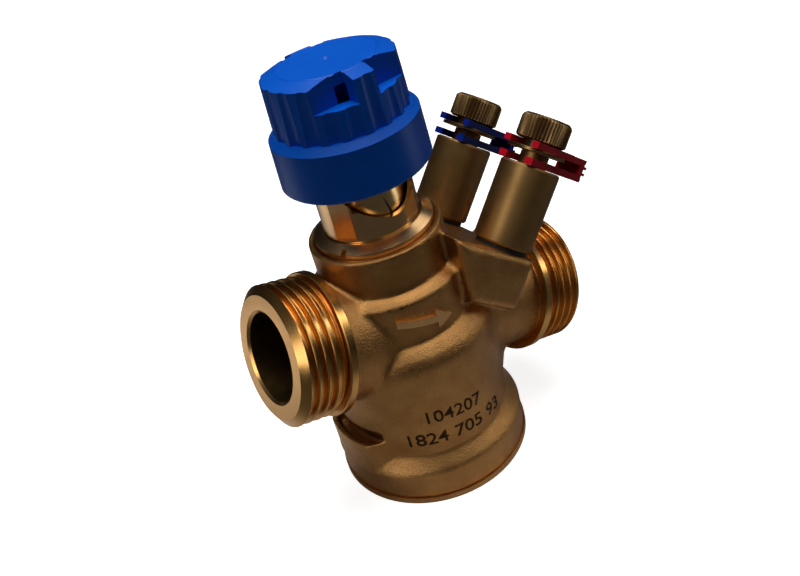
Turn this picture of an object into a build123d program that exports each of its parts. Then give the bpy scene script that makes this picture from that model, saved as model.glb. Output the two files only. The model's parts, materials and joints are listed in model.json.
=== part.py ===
from build123d import *
from math import cos, degrees, radians, sin
import os

os.makedirs("parts", exist_ok=True)

# Pressure independent control valve, nominal bore 20, in millimetres.
# +Z runs up the stem axis and the origin is the centre of the base.
# The pipe axis leans from the stem's normal, down towards the outlet at +X.

# Pipe connections
flow_tilt = 16.3
flow_height = 39.2
inlet_reach = 36.0
outlet_reach = 45.5
thread_length = 11.1
thread_root_r = 15.15
thread_crest_r = 16.55
thread_pitch = 2.309
thread_flat = 0.55
thread_turns = 4
ring_r = 17.2
ring_width = 2.1
inlet_neck_r = 15.2
outlet_neck_r = 14.6
neck_cove = 1.6
port_bore_r = 10.5
port_chamfer = 0.6
inlet_bore_depth = 16.0
inlet_throat_r = 8.0
outlet_bore_depth = 17.0
outlet_throat_r = 9.2
outlet_throat_end = 16.0

# Forged body, turned about the stem axis
flange_r = 24.2
cover_overhang = 0.37
base_r = flange_r + cover_overhang
cover_lip = 1.5
flange_top = 8.6
barrel_r = 21.2
ledge_top = 12.6
rib_r = 22.2
rib_low = 36.4
rib_top = 42.6
rib_swell = 0.6
rib_slant = 0.4
panel_r = 18.1
panel_top = 54.3
panel_edge = 1.0
collar_r = 15.65
collar_foot = 55.9
collar_top = 65.9
collar_edge = 0.4

# Swelling below the outlet, standing square to the pipe axis
bulge_at = 19.6
bulge_r = 11.0
bulge_depth = 21.5
bulge_edge = 4.5
bulge_bore_r = 7.0
bulge_bore_depth = 15.5

# Lug on the flange below the inlet
lug_top = 17.6
lug_angle = 32.0
lug_rim_angle = 20.0
lug_wall = 1.6
lug_pocket_r = 19.2
lug_pocket_foot = 14.9

# Boss that carries the two test plugs
plug_lean = 40.2
plug_spread = 12.4
plug_seat_x = 25.05
plug_seat_z = 51.45
plug_undercut = 1.0
boss_reach = 5.6
boss_back = 20.4
boss_height = 13.2
boss_foot = 11.0
boss_half = 19.7
boss_edge = 1.4
boss_hole_depth = 10.0

# Raised flow arrow
arrow_start = -121.0
arrow_neck = -92.0
arrow_tip = -79.0
arrow_height = 48.5
arrow_fall = 14.0
arrow_shaft = 1.8
arrow_head = 4.9
arrow_rise = 0.6

# Chambers of the body
cover_bore_r = 18.6
cover_bore_top = 14.4
chamber_r = 16.8
chamber_top = 29.0
web_top = 36.0
web_hole_r = 7.5
upper_r = 12.4
upper_top = 56.0
bonnet_r = 13.0
bonnet_top = 64.5
mouth_r = 14.0

# Fits and clearances
running_fit = 0.08
clear = 0.3
touch = 0.01
seat_gap = 0.15
stem_r = 2.5
stem_stroke = 2.25
regulator_stroke = 3.0

# Bottom cover
cover_floor = 4.0
cover_pocket_r = 15.0
cover_top = 13.3
cover_ring_z = 6.0
ring_section = 0.62
ring_land = 1.3
cover_key_r = 1.75
cover_key_span = 12.5
cover_key_depth = 2.5

# Pressure regulator
membrane = 1.05
membrane_hole_r = 2.1
roll_inner = 1.0
roll_outer = 1.8
roll_drop = 1.2
roll_skin = 0.9
plate_r = 12.6
plate_thick = 1.1
plate_margin = 0.4
regulator_r = 12.2
regulator_bore_r = 10.9
regulator_floor = 1.8
regulator_edge = 0.5
port_window_w = 7.0
port_window_h = 2.6
screw_head_r = 3.4
screw_head = 1.4
spring_wire_r = 0.9
spring_mean_r = 9.0
spring_turns = 4.5
seat_thick = 3.0
seat_edge = 1.6
seat_bore_r = 11.1

# Control valve
control_seat_flange = 1.0
control_seat_flange_r = 10.0
control_seat_bore_r = 5.6
control_seat_drop = 2.5
control_cone_r = 8.6
control_cone_plate = 2.6
control_plug_r = 4.9
control_plug_drop = 2.2
control_disc = 0.9
cone_edge = 0.8
stem_top = 94.4
stem_pin_r = 1.6
stem_pin = 3.4
stem_edge = 0.5
pin_edge = 0.4

# Bonnet and gland
hub_r = 9.82
hub_top = 70.2
tube_r = 8.0
tube_top = 91.0
spring_bore_foot = 68.0
bonnet_ring_z = 60.5
stem_spring_wire_r = 0.45
stem_spring_mean_r = 4.2
stem_spring_turns = 7.0
clip_r = 5.2
clip_foot = 79.6
clip_thick = 1.5
gland_r = 5.6
gland_foot = 81.6
gland_top = 92.4
gland_hex_r = 6.45
gland_ring_z = 86.4
gland_ring_mean_r = 3.12

# Setting ring, its scale and the lock ring
setting_r = 11.2
setting_bore_r = 9.9
setting_foot_r = 12.6
setting_foot = 1.4
setting_top = 81.2
setting_flat = 10.9
window_r = 10.4
window_height = 82.6
window_angle = -85.0
window_slot = 3.4
window_reach = 8.8
scale_foot_r = 9.55
scale_head_r = 8.5
pointer_w = 0.5
pointer_thick = 0.2
pointer_foot = 72.4
pointer_foot_at = -0.45
pointer_top_at = -1.25
pointer_top = 76.2
lock_top = 68.3
lock_edge_z = 67.0
lock_outer = 13.95
lock_lip = 0.4
notch_w = 1.3
notch_angle = -153.0

# Blue cap
head_r = 15.0
head_foot = 82.4
head_top = 91.0
head_edge = 0.8
cap_foot = 81.3
cap_foot_edge = 0.5
cap_skirt_r = 17.05
cap_skirt_top_r = 16.65
cap_skirt_height = 10.9
cap_shoulder = cap_foot + cap_skirt_height
cap_shoulder_rise = 1.4
cap_knob_foot = cap_shoulder + cap_shoulder_rise
cap_knob_r = 15.0
cap_knob_step = 0.25
cap_knob_top_r = 14.5
cap_knob_height = 11.55
cap_knob_top = cap_knob_foot + cap_knob_height
cap_crown = 1.05
cap_top = cap_knob_top + cap_crown
cap_disc_r = 11.3
cap_groove_w = 0.35
cap_groove_depth = 0.25
cap_dimple_r = 1.0
cap_dimple_depth = 0.5
cap_roof = 2.4
cap_hollow_r = 11.0
cap_head_room = 0.4
cap_ceiling = head_top + cap_head_room
cap_flutes = 20
flute_r = 2.7
flute_depth = 0.75
pocket_depth = 6.0
pocket_foot = cap_top - pocket_depth
pocket_wall = 9.9
pocket_half = 10.7
pocket_rib = 2.5
pocket_angle = -91.0
post_r = 6.4
post_foot = 97.0
pad_r = 4.0
pad_thick = 4.5
pad_edge = 0.3
pad_stem_gap = 1.2

# Test plugs, measured along their own axis from the undercut
plug_r = 7.2
plug_length = 19.3
plug_edge = 0.45
plug_shank_r = 4.2
plug_shank = 8.5
plug_bore_r = 1.3
plug_neck_r = 3.4
plug_neck_top = 22.3
plug_spigot_r = 2.6
plug_spigot_top = 27.2
seal_r = 2.6
seal_foot = 7.0
seal_length = 8.0
washer_r = 6.3
tap_r = 1.2

# Knurled caps of the test plugs
flange_disc_r = 5.8
flange_disc = 0.8
flange_foot = 22.45
cap_neck_r = 3.9
knob_foot = 25.0
knob_r = 6.1
knob_length = 5.9
knob_edge = 0.8
knob_bore_top = 28.9
knurls = 32
knurl_depth = 0.28
gasket_thick = 0.8
gasket_gap = 0.1

# Folded straps
strap_thick = 1.2
strap_low = 19.5
strap_high = 23.5
strap_tip = 5.9
strap_shoulder = 7.6
strap_end = 13.4
strap_half = 5.7
strap_tongue = 3.0
strap_edge = 0.8
strap_grip = 0.92

# Planes and axes worked out from the sizes above
tilt = radians(flow_tilt)
flow_dir = Vector(cos(tilt), 0, -sin(tilt))
flow_up = Vector(sin(tilt), 0, cos(tilt))
flow_point = Vector(0, 0, flow_height)
flow_axis = Axis(flow_point, flow_dir)
flow_section = Plane(origin=flow_point, x_dir=flow_dir, z_dir=(0, -1, 0))
lean = radians(plug_lean)
plug_dir = Vector(sin(lean), 0, cos(lean))
plug_side = Vector(cos(lean), 0, -sin(lean))


def turned(points, plane=Plane.XZ):
    with BuildSketch(plane, mode=Mode.PRIVATE) as profile:
        with BuildLine():
            Polyline(*points, close=True)
        make_face()
    return profile.sketch


def plug_plane(side, height):
    origin = Vector(plug_seat_x, side * plug_spread, plug_seat_z) + plug_dir * height
    return Plane(origin=origin, x_dir=plug_side, z_dir=plug_dir)


def plug_section(side):
    origin = Vector(plug_seat_x, side * plug_spread, plug_seat_z)
    return Plane(origin=origin, x_dir=plug_side, z_dir=(0, -1, 0))


def plug_axis(side):
    return Axis(Vector(plug_seat_x, side * plug_spread, plug_seat_z), plug_dir)


def on_stem(radius, angle, height):
    return Vector(radius * cos(radians(angle)), radius * sin(radians(angle)), height)


def thread_ridges(start, side):
    ridges = []
    for turn in range(thread_turns):
        middle = start + (turn + 1 / 2) * thread_pitch
        ridges.append((side * (middle - thread_flat / 2), thread_crest_r))
        ridges.append((side * (middle + thread_flat / 2), thread_crest_r))
        ridges.append((side * (middle + thread_pitch / 2), thread_root_r))
    return ridges


def finish(part, node):
    part.label = node
    export_step(part, "parts/" + node + ".step")


# Forged body
with BuildPart() as body:
    with BuildSketch(Plane.XZ):
        with BuildLine():
            Polyline(
                (0, cover_lip),
                (flange_r, cover_lip),
                (flange_r, flange_top),
                (barrel_r, ledge_top),
                (barrel_r, rib_low - (rib_r - barrel_r)),
                (rib_r, rib_low),
            )
            Spline(
                (rib_r, rib_low),
                (rib_r - rib_swell, (rib_low + rib_top) / 2),
                (panel_r, rib_top),
                tangents=((0, 1), (-rib_slant, 1)),
            )
            Polyline(
                (panel_r, rib_top),
                (panel_r, panel_top - panel_edge),
                (panel_r - panel_edge, panel_top),
                (collar_r + panel_edge, panel_top),
                (collar_r, collar_foot),
                (collar_r, collar_top - collar_edge),
                (collar_r - collar_edge, collar_top),
                (0, collar_top),
                (0, cover_lip),
            )
        make_face()
    revolve(axis=Axis.Z)
    ring_end = inlet_reach - thread_length
    revolve(
        turned(
            [
                (0, 0),
                (0, inlet_neck_r),
                (-(ring_end - ring_width - neck_cove), inlet_neck_r),
                (-(ring_end - ring_width), ring_r - neck_cove / 2),
                (-(ring_end - ring_width), ring_r),
                (-ring_end, ring_r),
                (-ring_end, thread_root_r),
                *thread_ridges(ring_end, -1),
                (-(inlet_reach - port_chamfer), thread_root_r),
                (-inlet_reach, thread_root_r - port_chamfer),
                (-inlet_reach, 0),
            ],
            flow_section,
        ),
        axis=flow_axis,
    )
    out_end = outlet_reach - thread_length
    revolve(
        turned(
            [
                (0, 0),
                (0, outlet_neck_r),
                (out_end - ring_width - neck_cove, outlet_neck_r),
                (out_end - ring_width, ring_r - neck_cove / 2),
                (out_end - ring_width, ring_r),
                (out_end, ring_r),
                (out_end, thread_root_r),
                *thread_ridges(out_end, 1),
                (outlet_reach - port_chamfer, thread_root_r),
                (outlet_reach, thread_root_r - port_chamfer),
                (outlet_reach, 0),
            ],
            flow_section,
        ),
        axis=flow_axis,
    )
    # Swelling below the outlet
    bulge_point = flow_point + flow_dir * bulge_at
    with BuildSketch(Plane(origin=bulge_point, x_dir=flow_dir, z_dir=(0, -1, 0))) as bulge_profile:
        with Locations((bulge_r / 2, -bulge_depth / 2)):
            Rectangle(bulge_r, bulge_depth)
        fillet(bulge_profile.vertices().sort_by(Axis.X)[-2:].sort_by(Axis.Y)[0], bulge_edge)
    revolve(axis=Axis(bulge_point, flow_up))
    # Boss for the test plugs
    boss_section = Plane(origin=(plug_seat_x, 0, plug_seat_z), x_dir=plug_side, z_dir=(0, -1, 0))
    with BuildSketch(boss_section):
        with BuildLine():
            Polyline(
                (-boss_back, -plug_undercut),
                (boss_reach, -plug_undercut),
                (boss_reach, -boss_height - plug_undercut),
                (-boss_foot, -boss_height - plug_undercut),
                close=True,
            )
        make_face()
    extrude(amount=boss_half, both=True)
    boss_corners = body.edges().filter_by(
        lambda e: abs(abs(e.center().Y) - boss_half) < touch and e.geom_type == GeomType.LINE
    )
    fillet(boss_corners, boss_edge)
    # Lug on the flange below the inlet, with slanted ends and a pocket behind its wall
    for wall, inner_r, foot, mode in (
        (0, lug_pocket_r, cover_lip, Mode.ADD),
        (lug_wall, lug_pocket_r, lug_pocket_foot, Mode.SUBTRACT),
    ):
        outer_r = flange_r - wall
        turn_in = degrees(wall / flange_r)
        with BuildSketch(Plane.XY.offset(foot)):
            with BuildLine():
                near = ThreePointArc(
                    on_stem(inner_r, 180 - lug_angle + turn_in, 0),
                    on_stem(inner_r, 180, 0),
                    on_stem(inner_r, 180 + lug_angle - turn_in, 0),
                )
                far = ThreePointArc(
                    on_stem(outer_r, 180 - lug_rim_angle + turn_in, 0),
                    on_stem(outer_r, 180, 0),
                    on_stem(outer_r, 180 + lug_rim_angle - turn_in, 0),
                )
                Line(near @ 0, far @ 0)
                Line(near @ 1, far @ 1)
            make_face()
        extrude(amount=lug_top - foot, mode=mode)
    # Raised flow arrow, wrapped on the panel
    with BuildSketch(Plane.XY.offset(arrow_height - arrow_head)):
        Circle(panel_r + arrow_rise)
        Circle(panel_r - arrow_rise, mode=Mode.SUBTRACT)
        with BuildLine(mode=Mode.PRIVATE) as arrow_wedge:
            Polyline(
                (0, 0),
                on_stem(2 * panel_r, arrow_start, 0),
                on_stem(2 * panel_r, arrow_tip, 0),
                close=True,
            )
        make_face(arrow_wedge.edges(), mode=Mode.INTERSECT)
    arrow_band = extrude(amount=2 * arrow_head, mode=Mode.PRIVATE)
    arrow_mid = (arrow_start + arrow_tip) / 2
    arrow_plane = Plane(
        origin=on_stem(panel_r / 2, arrow_mid, arrow_height),
        x_dir=(-sin(radians(arrow_mid)), cos(radians(arrow_mid)), 0),
        z_dir=(cos(radians(arrow_mid)), sin(radians(arrow_mid)), 0),
    ).rotated((0, 0, -arrow_fall))
    tail_x = panel_r * sin(radians(arrow_start - arrow_mid))
    neck_x = panel_r * sin(radians(arrow_neck - arrow_mid))
    tip_x = panel_r * sin(radians(arrow_tip - arrow_mid))
    with BuildSketch(arrow_plane, mode=Mode.PRIVATE) as arrow_shape:
        with BuildLine():
            Polyline(
                (tail_x, -arrow_shaft / 2),
                (neck_x, -arrow_shaft / 2),
                (neck_x, -arrow_head / 2),
                (tip_x, 0),
                (neck_x, arrow_head / 2),
                (neck_x, arrow_shaft / 2),
                (tail_x, arrow_shaft / 2),
                close=True,
            )
        make_face()
    arrow_block = extrude(arrow_shape.sketch, amount=panel_r, mode=Mode.PRIVATE)
    add(arrow_band & arrow_block)
    # Chambers, seats and bonnet bore
    revolve(
        turned(
            [
                (0, cover_lip),
                (cover_bore_r, cover_lip),
                (cover_bore_r, cover_bore_top),
                (chamber_r, cover_bore_top),
                (chamber_r, chamber_top),
                (web_hole_r, chamber_top),
                (web_hole_r, web_top),
                (upper_r, web_top),
                (upper_r, upper_top),
                (bonnet_r, upper_top),
                (bonnet_r, bonnet_top),
                (mouth_r, bonnet_top),
                (mouth_r, collar_top),
                (0, collar_top),
            ]
        ),
        axis=Axis.Z,
        mode=Mode.SUBTRACT,
    )
    # Inlet passage
    revolve(
        turned(
            [
                (-upper_r / 2, 0),
                (-upper_r / 2, inlet_throat_r),
                (-(inlet_reach - inlet_bore_depth), inlet_throat_r),
                (-(inlet_reach - inlet_bore_depth), port_bore_r),
                (-(inlet_reach - port_chamfer), port_bore_r),
                (-inlet_reach, port_bore_r + port_chamfer),
                (-inlet_reach, 0),
            ],
            flow_section,
        ),
        axis=flow_axis,
        mode=Mode.SUBTRACT,
    )
    # Outlet passage and the drop into the lower chamber
    revolve(
        turned(
            [
                (outlet_throat_end, 0),
                (outlet_throat_end, outlet_throat_r),
                (outlet_reach - outlet_bore_depth, outlet_throat_r),
                (outlet_reach - outlet_bore_depth, port_bore_r),
                (outlet_reach - port_chamfer, port_bore_r),
                (outlet_reach, port_bore_r + port_chamfer),
                (outlet_reach, 0),
            ],
            flow_section,
        ),
        axis=flow_axis,
        mode=Mode.SUBTRACT,
    )
    with BuildSketch(Plane(origin=bulge_point, x_dir=(0, 1, 0), z_dir=flow_up * -1)):
        Circle(bulge_bore_r)
    extrude(amount=bulge_bore_depth, mode=Mode.SUBTRACT)
    # Threaded holes for the plugs, and their pressure taps
    for side in (-1, 1):
        with BuildSketch(plug_plane(side, -plug_undercut)):
            Circle(plug_shank_r)
        extrude(amount=-boss_hole_depth, mode=Mode.SUBTRACT)
    inlet_tap = plug_plane(-1, -plug_undercut - boss_hole_depth).origin
    inlet_target = Vector(upper_r / 2, -upper_r / 2, (web_top + upper_top) / 2)
    outlet_tap = plug_plane(1, -plug_undercut - boss_hole_depth).origin
    outlet_target = flow_point + flow_dir * (outlet_throat_end + outlet_throat_r / 2)
    for start, target in ((inlet_tap, inlet_target), (outlet_tap, outlet_target)):
        with BuildSketch(Plane(origin=start, z_dir=target - start)):
            Circle(tap_r)
        extrude(amount=(target - start).length, mode=Mode.SUBTRACT)
finish(body.part, "body")

# Bottom cover with its lip, pin spanner holes and seal groove
with BuildPart() as bottom_cover:
    groove_r = cover_bore_r - ring_land
    cover_r = cover_bore_r - running_fit
    revolve(
        turned(
            [
                (0, 0),
                (base_r, 0),
                (base_r, cover_lip),
                (cover_r, cover_lip),
                (cover_r, cover_ring_z - ring_section),
                (groove_r, cover_ring_z - ring_section),
                (groove_r, cover_ring_z + ring_section),
                (cover_r, cover_ring_z + ring_section),
                (cover_r, cover_top),
                (cover_pocket_r, cover_top),
                (cover_pocket_r, cover_floor),
                (0, cover_floor),
            ]
        ),
        axis=Axis.Z,
    )
    with BuildSketch(Plane.XY):
        with Locations((-cover_key_span, 0), (cover_key_span, 0)):
            Circle(cover_key_r)
    extrude(amount=cover_key_depth, mode=Mode.SUBTRACT)
finish(bottom_cover.part, "bottom_cover")

with BuildPart() as cover_oring:
    with BuildSketch(Plane.XZ):
        with Locations((cover_bore_r - ring_land + ring_section, cover_ring_z)):
            Circle(ring_section)
    revolve(axis=Axis.Z)
finish(cover_oring.part, "cover_oring")

# Rolling membrane, clamped between the cover and the body's step
membrane_low = cover_bore_top - membrane
with BuildPart() as membrane_disc:
    revolve(
        turned(
            [
                (membrane_hole_r, membrane_low),
                (plate_r, membrane_low),
                (plate_r + roll_inner, membrane_low - roll_drop),
                (plate_r + roll_outer, membrane_low - roll_drop),
                (cover_pocket_r, membrane_low),
                (cover_bore_r, membrane_low),
                (cover_bore_r, cover_bore_top),
                (cover_pocket_r, cover_bore_top),
                (plate_r + roll_outer, membrane_low - roll_drop + roll_skin),
                (plate_r + roll_inner, membrane_low - roll_drop + roll_skin),
                (plate_r, cover_bore_top),
                (membrane_hole_r, cover_bore_top),
            ]
        ),
        axis=Axis.Z,
    )
finish(membrane_disc.part, "membrane")

with BuildPart() as membrane_plate:
    revolve(
        turned(
            [
                (membrane_hole_r, membrane_low - plate_thick),
                (plate_r - plate_margin, membrane_low - plate_thick),
                (plate_r - plate_margin, membrane_low),
                (membrane_hole_r, membrane_low),
            ]
        ),
        axis=Axis.Z,
    )
finish(membrane_plate.part, "membrane_plate")

# Hollow regulator cone with windows round its wall
with BuildPart() as regulator_cone:
    regulator_base = cover_bore_top + regulator_floor
    regulator_wall_top = chamber_top - seat_thick - regulator_stroke - clear
    revolve(
        turned(
            [
                (membrane_hole_r, cover_bore_top),
                (regulator_r, cover_bore_top),
                (regulator_r, regulator_wall_top - regulator_edge),
                (regulator_r - regulator_edge, regulator_wall_top),
                (regulator_bore_r, regulator_wall_top),
                (regulator_bore_r, regulator_base),
                (membrane_hole_r, regulator_base),
            ]
        ),
        axis=Axis.Z,
    )
    with BuildSketch(Plane.XY.offset(regulator_base + port_window_h / 2)):
        Rectangle(4 * regulator_r, port_window_w)
        Rectangle(port_window_w, 4 * regulator_r)
    extrude(amount=port_window_h, mode=Mode.SUBTRACT)
finish(regulator_cone.part, "regulator_cone")

with BuildPart() as cone_screw:
    screw_seat = membrane_low - plate_thick
    revolve(
        turned(
            [
                (0, screw_seat - screw_head),
                (screw_head_r, screw_seat - screw_head),
                (screw_head_r, screw_seat),
                (membrane_hole_r, screw_seat),
                (membrane_hole_r, regulator_base + screw_head),
                (0, regulator_base + screw_head),
            ]
        ),
        axis=Axis.Z,
    )
    with BuildSketch(Plane.XY.offset(screw_seat - screw_head)):
        RegularPolygon(screw_head_r / 2, 6)
    extrude(amount=screw_head / 2, mode=Mode.SUBTRACT)
finish(cone_screw.part, "cone_screw")

# Main spring of the regulator
with BuildPart() as regulator_spring:
    spring_low = regulator_base + spring_wire_r
    spring_high = chamber_top - spring_wire_r
    spring_pitch = (spring_high - spring_low) / spring_turns
    spring_path = Helix(
        pitch=spring_pitch,
        height=spring_high - spring_low,
        radius=spring_mean_r,
        center=(0, 0, spring_low),
        mode=Mode.PRIVATE,
    )
    with BuildSketch(Plane(origin=spring_path @ 0, z_dir=spring_path % 0)):
        Circle(spring_wire_r)
    sweep(path=spring_path)
finish(regulator_spring.part, "regulator_spring")

with BuildPart() as regulator_seat:
    revolve(
        turned(
            [
                (seat_bore_r, chamber_top - seat_thick),
                (chamber_r - seat_edge, chamber_top - seat_thick),
                (chamber_r, chamber_top - seat_thick / 2),
                (chamber_r, chamber_top),
                (seat_bore_r, chamber_top),
            ]
        ),
        axis=Axis.Z,
    )
finish(regulator_seat.part, "regulator_seat")

# Control seat pressed in the web, with the closing disc above it
with BuildPart() as control_seat:
    revolve(
        turned(
            [
                (control_seat_bore_r, web_top - control_seat_drop),
                (web_hole_r, web_top - control_seat_drop),
                (web_hole_r, web_top),
                (control_seat_flange_r, web_top),
                (control_seat_flange_r, web_top + control_seat_flange),
                (control_seat_bore_r, web_top + control_seat_flange),
            ]
        ),
        axis=Axis.Z,
    )
finish(control_seat.part, "control_seat")

seat_face = web_top + control_seat_flange
disc_low = seat_face + stem_stroke + clear
with BuildPart() as seal_disc:
    revolve(
        turned(
            [
                (control_plug_r, disc_low),
                (control_cone_r, disc_low),
                (control_cone_r, disc_low + control_disc),
                (control_plug_r, disc_low + control_disc),
            ]
        ),
        axis=Axis.Z,
    )
finish(seal_disc.part, "seal_disc")

cone_low = disc_low + control_disc
with BuildPart() as control_cone:
    revolve(
        turned(
            [
                (stem_r, disc_low - control_plug_drop),
                (control_plug_r - cone_edge, disc_low - control_plug_drop),
                (control_plug_r, disc_low),
                (control_plug_r, cone_low),
                (control_cone_r, cone_low),
                (control_cone_r, cone_low + control_cone_plate - cone_edge),
                (control_cone_r - cone_edge, cone_low + control_cone_plate),
                (stem_r, cone_low + control_cone_plate),
            ]
        ),
        axis=Axis.Z,
    )
finish(control_cone.part, "control_cone")

with BuildPart() as stem:
    revolve(
        turned(
            [
                (0, disc_low - control_plug_drop - stem_edge),
                (stem_r - stem_edge, disc_low - control_plug_drop - stem_edge),
                (stem_r, disc_low - control_plug_drop),
                (stem_r, stem_top - stem_pin),
                (stem_pin_r, stem_top - stem_pin),
                (stem_pin_r, stem_top - pin_edge),
                (stem_pin_r - pin_edge, stem_top),
                (0, stem_top),
            ]
        ),
        axis=Axis.Z,
    )
finish(stem.part, "stem")

# Bonnet: plug, hub and tube in one turned piece
with BuildPart() as bonnet:
    bonnet_groove_r = bonnet_r - ring_land
    revolve(
        turned(
            [
                (stem_r + running_fit, upper_top),
                (bonnet_r, upper_top),
                (bonnet_r, bonnet_ring_z - ring_section),
                (bonnet_groove_r, bonnet_ring_z - ring_section),
                (bonnet_groove_r, bonnet_ring_z + ring_section),
                (bonnet_r, bonnet_ring_z + ring_section),
                (bonnet_r, bonnet_top),
                (hub_r, bonnet_top),
                (hub_r, hub_top),
                (tube_r, hub_top),
                (tube_r, tube_top),
                (gland_r, tube_top),
                (gland_r, spring_bore_foot),
                (stem_r + running_fit, spring_bore_foot),
            ]
        ),
        axis=Axis.Z,
    )
finish(bonnet.part, "bonnet")

with BuildPart() as bonnet_oring:
    with BuildSketch(Plane.XZ):
        with Locations((bonnet_r - ring_land + ring_section, bonnet_ring_z)):
            Circle(ring_section)
    revolve(axis=Axis.Z)
finish(bonnet_oring.part, "bonnet_oring")

with BuildPart() as stem_spring:
    coil_low = spring_bore_foot + stem_spring_wire_r
    coil_high = clip_foot - stem_spring_wire_r
    coil_path = Helix(
        pitch=(coil_high - coil_low) / stem_spring_turns,
        height=coil_high - coil_low,
        radius=stem_spring_mean_r,
        center=(0, 0, coil_low),
        mode=Mode.PRIVATE,
    )
    with BuildSketch(Plane(origin=coil_path @ 0, z_dir=coil_path % 0)):
        Circle(stem_spring_wire_r)
    sweep(path=coil_path)
finish(stem_spring.part, "stem_spring")

with BuildPart() as stem_clip:
    revolve(
        turned(
            [
                (stem_r, clip_foot),
                (clip_r, clip_foot),
                (clip_r, clip_foot + clip_thick),
                (stem_r, clip_foot + clip_thick),
            ]
        ),
        axis=Axis.Z,
    )
finish(stem_clip.part, "stem_clip")

# Gland nut in the tube's mouth, with its seal
with BuildPart() as gland_nut:
    gland_pocket_r = gland_ring_mean_r + ring_section
    revolve(
        turned(
            [
                (stem_r + running_fit, gland_foot),
                (gland_r, gland_foot),
                (gland_r, gland_top),
                (stem_r + running_fit, gland_top),
                (stem_r + running_fit, gland_ring_z + ring_section),
                (gland_pocket_r, gland_ring_z + ring_section),
                (gland_pocket_r, gland_ring_z - ring_section),
                (stem_r + running_fit, gland_ring_z - ring_section),
            ]
        ),
        axis=Axis.Z,
    )
    with BuildSketch(Plane.XY.offset(tube_top)):
        RegularPolygon(gland_hex_r, 6)
        Circle(stem_r + running_fit, mode=Mode.SUBTRACT)
    extrude(amount=gland_top - tube_top)
finish(gland_nut.part, "gland_nut")

with BuildPart() as stem_oring:
    with BuildSketch(Plane.XZ):
        with Locations((gland_ring_mean_r + running_fit / 2, gland_ring_z)):
            Circle(ring_section - running_fit / 2)
    revolve(axis=Axis.Z)
finish(stem_oring.part, "stem_oring")

# Scale sleeve seen through the setting ring's window
with BuildPart() as scale_sleeve:
    revolve(
        turned(
            [
                (tube_r, hub_top),
                (scale_foot_r, hub_top),
                (scale_head_r, setting_top - clear),
                (tube_r, setting_top - clear),
            ]
        ),
        axis=Axis.Z,
    )
finish(scale_sleeve.part, "scale_sleeve")

# Setting ring with its window and spanner flats
with BuildPart() as setting_ring:
    foot_low = bonnet_top + seat_gap
    revolve(
        turned(
            [
                (setting_bore_r, foot_low),
                (setting_foot_r, foot_low),
                (setting_foot_r, foot_low + setting_foot),
                (setting_r, foot_low + setting_foot),
                (setting_r, setting_top),
                (setting_bore_r, setting_top),
            ]
        ),
        axis=Axis.Z,
    )
    window_plane = Plane(
        origin=(0, 0, window_height),
        x_dir=(-sin(radians(window_angle)), cos(radians(window_angle)), 0),
        z_dir=(cos(radians(window_angle)), sin(radians(window_angle)), 0),
    )
    with BuildSketch(window_plane):
        Circle(window_r)
        with Locations((-window_reach / 2, -window_r / 2)):
            Rectangle(window_reach, window_slot)
    extrude(amount=2 * setting_r, mode=Mode.SUBTRACT)
    flat_low = lock_top + clear
    for quarter in range(4):
        angle = notch_angle + 90 * quarter
        flat_plane = Plane(
            origin=on_stem(setting_flat, angle, flat_low),
            x_dir=(-sin(radians(angle)), cos(radians(angle)), 0),
            z_dir=(0, 0, 1),
        )
        with BuildSketch(flat_plane):
            with Locations((0, -setting_r / 2)):
                Rectangle(setting_r, setting_r)
        extrude(amount=setting_top - flat_low, mode=Mode.SUBTRACT)
finish(setting_ring.part, "setting_ring")

# Pointer on the scale
with BuildPart() as pointer:
    with BuildSketch(window_plane, mode=Mode.PRIVATE) as pointer_shape:
        with BuildLine():
            Polyline(
                (pointer_foot_at - pointer_w / 2, pointer_foot - window_height),
                (pointer_foot_at + pointer_w / 2, pointer_foot - window_height),
                (pointer_top_at, pointer_top - window_height),
                close=True,
            )
        make_face()
    needle = extrude(pointer_shape.sketch, amount=setting_r, mode=Mode.PRIVATE)
    shell = revolve(
        turned(
            [
                (scale_foot_r, hub_top),
                (scale_foot_r + pointer_thick, hub_top),
                (scale_head_r + pointer_thick, setting_top - clear),
                (scale_head_r, setting_top - clear),
            ]
        ),
        axis=Axis.Z,
        mode=Mode.PRIVATE,
    )
    add(needle & shell)
finish(pointer.part, "pointer")

with BuildPart() as lock_ring:
    foot_clear = setting_foot_r + seat_gap
    lock_step = foot_low + setting_foot + seat_gap
    revolve(
        turned(
            [
                (foot_clear, bonnet_top),
                (lock_outer, bonnet_top),
                (lock_outer, lock_edge_z),
                (setting_r + seat_gap + lock_lip, lock_top),
                (setting_r + seat_gap, lock_top),
                (setting_r + seat_gap, lock_step),
                (foot_clear, lock_step),
            ]
        ),
        axis=Axis.Z,
    )
    notch_plane = Plane(
        origin=on_stem(lock_outer, notch_angle, lock_edge_z - notch_w / 2),
        x_dir=(-sin(radians(notch_angle)), cos(radians(notch_angle)), 0),
        z_dir=(0, 0, 1),
    )
    with BuildSketch(notch_plane):
        Rectangle(notch_w, notch_w * 2)
    extrude(amount=lock_top, mode=Mode.SUBTRACT)
finish(lock_ring.part, "lock_ring")

# Threaded head that takes the cap or an actuator
with BuildPart() as actuator_head:
    revolve(
        turned(
            [
                (tube_r, head_foot),
                (head_r - head_edge, head_foot),
                (head_r, head_foot + head_edge),
                (head_r, head_top - head_edge),
                (head_r - head_edge, head_top),
                (tube_r, head_top),
            ]
        ),
        axis=Axis.Z,
    )
finish(actuator_head.part, "actuator_head")

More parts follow.
